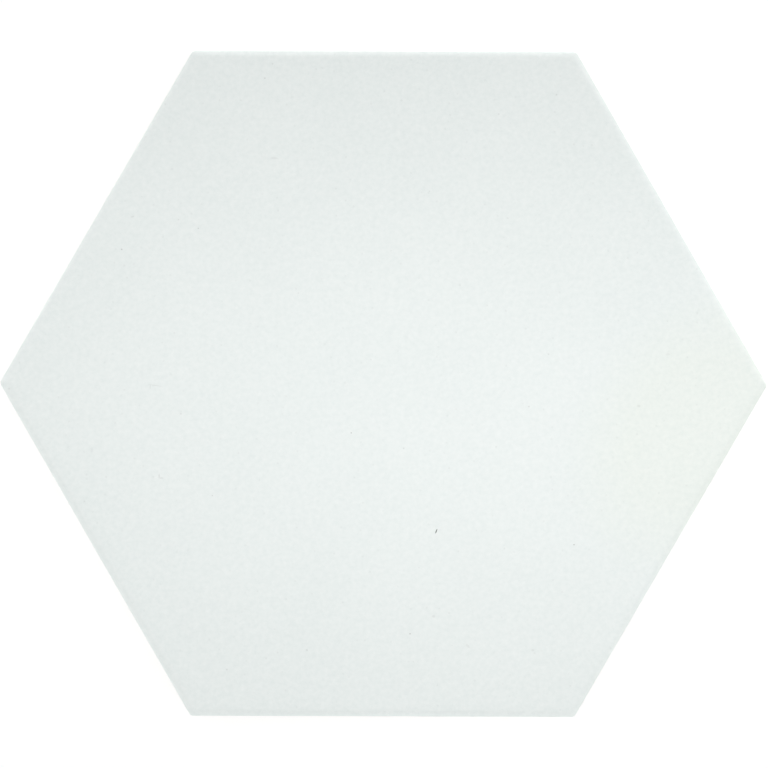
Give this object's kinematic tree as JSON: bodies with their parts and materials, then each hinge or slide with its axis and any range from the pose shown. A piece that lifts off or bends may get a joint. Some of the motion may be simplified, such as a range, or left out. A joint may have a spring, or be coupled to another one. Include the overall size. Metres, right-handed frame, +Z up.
{
  "type": "hexagon tile",
  "caption": "Flat hexagonal pressed porcelain tile with a matt off-white glazed face, a cushioned edge, a drawn-in foot and a honeycomb keyed back, for setting on floors and walls.",
  "frame": {"origin": "middle of the bedding plane, the flat back that the tile lies on", "axes": "+Z up through the glazed face, +X through a corner, +Y square to a joint face"},
  "size_m": [0.2016, 0.175, 0.0085],
  "materials": {
    "glazed_porcelain": "matte"
  },
  "bodies": {
    "root": {"hexagon_tile": "glazed_porcelain"}
  },
  "joints": []
}
